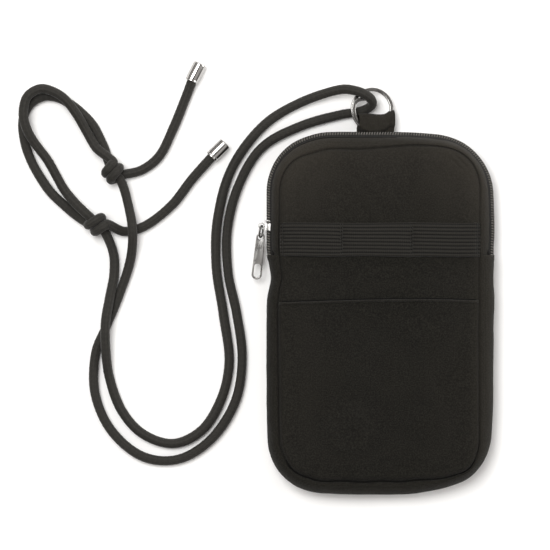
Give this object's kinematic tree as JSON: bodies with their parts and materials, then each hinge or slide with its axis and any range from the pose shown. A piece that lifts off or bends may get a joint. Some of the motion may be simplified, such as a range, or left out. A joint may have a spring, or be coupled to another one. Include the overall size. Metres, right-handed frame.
{
  "type": "neck pouch wallet",
  "caption": "Flat padded fabric neck pouch with a wrap-round zip, elastic front loops, patch pocket, split ring and long round neck cord with sliding knots.",
  "frame": {"origin": "centre of the back face, which lies on the table", "axes": "+X across the pouch, +Y up to the ring and cord, +Z out of the front face"},
  "size_m": [0.2486, 0.2264, 0.0214],
  "materials": {
    "pouch_fabric": "near-black fine plain-weave polyester",
    "lining_fabric": "smooth dark grey lining",
    "foam": "soft open-cell foam padding",
    "elastic": "ribbed woven elastic",
    "zip_coil": "black nylon zip coil",
    "zip_tape": "black woven zip tape",
    "nickel": "satin nickel-plated zip slider and pull",
    "chrome": "polished plated steel",
    "cord": "black round braided cord"
  },
  "bodies": {
    "pouch": {"back_panel": "pouch_fabric", "back_foam": "foam", "back_lining": "lining_fabric", "back_binding": "pouch_fabric", "lower_gusset": "pouch_fabric", "gusset_lining": "lining_fabric", "zip_strip_back": "pouch_fabric", "zip_tape_back": "zip_tape", "zip_teeth_back": "zip_coil", "front_panel_lower": "pouch_fabric", "front_foam_lower": "foam", "front_lining_lower": "lining_fabric", "front_binding_lower": "pouch_fabric", "front_pocket": "pouch_fabric", "cord_strand_1": "cord", "cord_strand_2": "cord", "cord_upper_a": "cord", "cord_upper_b": "cord", "cord_tail_1": "cord", "cord_tail_2": "cord", "knot_1": "cord", "knot_2": "cord", "cord_tip_1": "chrome", "cord_tip_2": "chrome"},
    "front_flap": {"front_panel_flap": "pouch_fabric", "front_foam_flap": "foam", "front_lining_flap": "lining_fabric", "front_binding_flap": "pouch_fabric", "elastic_band": "elastic", "zip_strip_front": "pouch_fabric", "zip_tape_front": "zip_tape", "zip_teeth_front": "zip_coil"},
    "slider": {"zip_slider": "nickel"},
    "link": {"pull_link": "nickel"},
    "pull": {"pull_tab": "nickel"},
    "ring_loop": {"ring_tab": "pouch_fabric", "cord_bight": "cord"},
    "ring": {"split_ring": "chrome"}
  },
  "joints": [
    {"name": "flap_open", "type": "hinge", "parent": "pouch", "child": "front_flap", "pos_m": [0, 0.0286, 0.02], "axis": [1, 0, 0], "range_deg": [0, 70]},
    {"name": "zip_travel", "type": "slide", "parent": "pouch", "child": "slider", "axis": [0, 1, 0], "range_m": [-0.011, 0.013]},
    {"name": "link_swing", "type": "hinge", "parent": "slider", "child": "link", "pos_m": [-0.062, 0.0454, 0.0103], "axis": [0, 0, 1], "range_deg": [-140, 3]},
    {"name": "pull_swing", "type": "hinge", "parent": "link", "child": "pull", "pos_m": [-0.06262, 0.03951, 0.00936], "axis": [-0.0164, -0.1556, 0.9877], "range_deg": [-20, 3]},
    {"name": "loop_fold", "type": "hinge", "parent": "pouch", "child": "ring_loop", "pos_m": [-0.0024, 0.0949, 0.0095], "axis": [1, 0, 0], "range_deg": [0, 75]},
    {"name": "ring_turn", "type": "hinge", "parent": "ring_loop", "child": "ring", "pos_m": [-0.0043, 0.1063, 0.006], "axis": [0.2079, 0, 0.9781], "continuous": true}
  ]
}
